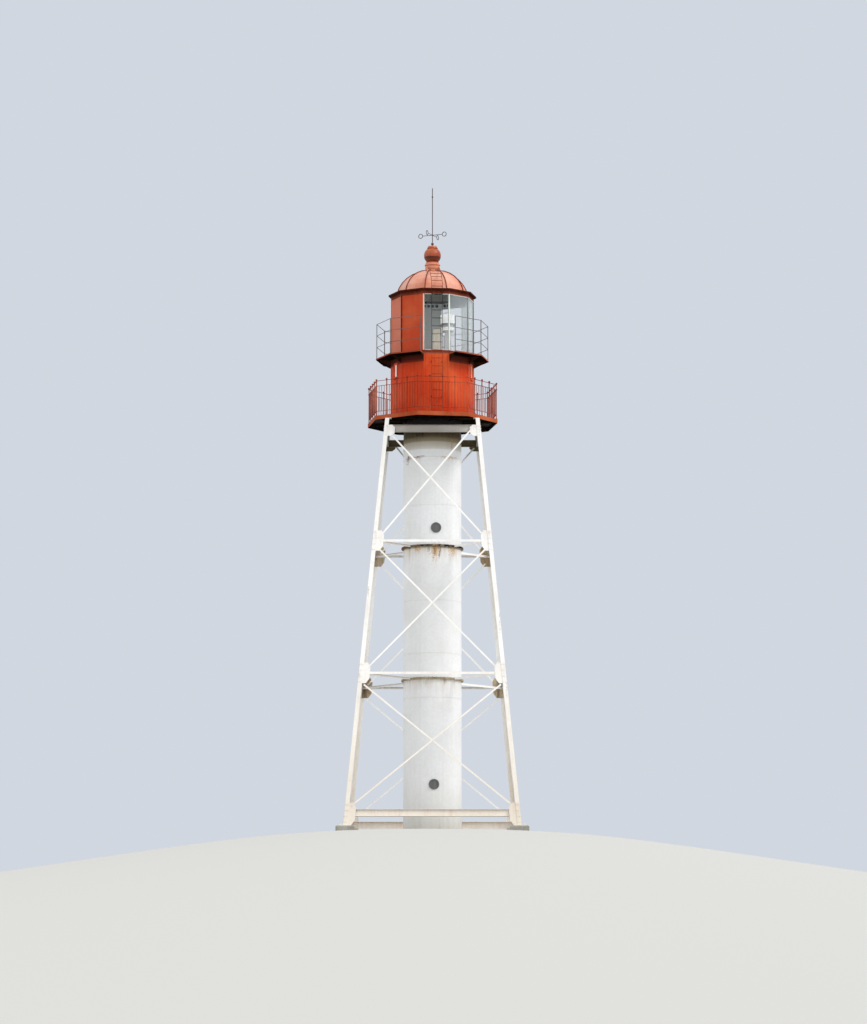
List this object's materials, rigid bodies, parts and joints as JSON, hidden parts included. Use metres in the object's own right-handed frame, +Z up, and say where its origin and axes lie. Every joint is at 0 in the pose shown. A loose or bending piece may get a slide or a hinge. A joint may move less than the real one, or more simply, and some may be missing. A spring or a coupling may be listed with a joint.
{
  "type": "lighthouse",
  "caption": "Coastal lighthouse: white steel tube in a battered braced frame, carrying a red gallery, watch room, glazed lantern and ribbed dome with a lightning rod.",
  "frame": {"origin": "centre of the tube's foot at ground level, on the underside of the plinth", "axes": "+Z up along the tower's axis; -Y is the front, the side seen in the picture; +X to its right"},
  "size_m": [6.9554, 6.9554, 24.4557],
  "materials": {
    "white_paint": "satin",
    "red_paint": "satin",
    "pale_paint": "satin",
    "dark_steel": "matte",
    "lamp_white": "gloss",
    "glass": "polished",
    "concrete": "rough"
  },
  "bodies": {
    "root": {"base_beams": "white_paint", "base_plinth": "concrete", "control_cabinet": "pale_paint", "deck_brackets": "red_paint", "dome": "red_paint", "dome_ribs": "red_paint", "door_frames": "red_paint", "doors": "red_paint", "footings": "concrete", "gallery_deck": "red_paint", "gallery_fascia": "red_paint", "gallery_joists": "dark_steel", "gallery_ladder": "red_paint", "gallery_railing": "red_paint", "lamp_drum": "lamp_white", "lamp_stand": "pale_paint", "lantern_floor": "red_paint", "lantern_glazing": "glass", "lantern_head": "red_paint", "lantern_mullions": "pale_paint", "lantern_panels": "red_paint", "lantern_sill": "red_paint", "lattice_front": "white_paint", "lattice_left": "white_paint", "lattice_rear": "white_paint", "lattice_right": "white_paint", "leg_front_left": "white_paint", "leg_front_right": "white_paint", "leg_plates": "white_paint", "leg_rear_left": "white_paint", "leg_rear_right": "white_paint", "lightning_rod": "dark_steel", "radial_ties": "white_paint", "roof_eave": "red_paint", "roof_ladder": "red_paint", "shell_flanges": "white_paint", "shell_lower": "white_paint", "shell_middle": "white_paint", "shell_upper": "white_paint", "top_beams": "white_paint", "upper_deck": "red_paint", "upper_railing": "red_paint", "ventilator_ball": "red_paint", "ventilator_neck": "red_paint", "watch_opened_walls": "red_paint", "watch_walls": "red_paint", "window_frames": "white_paint", "window_panes": "glass"}
  },
  "joints": []
}
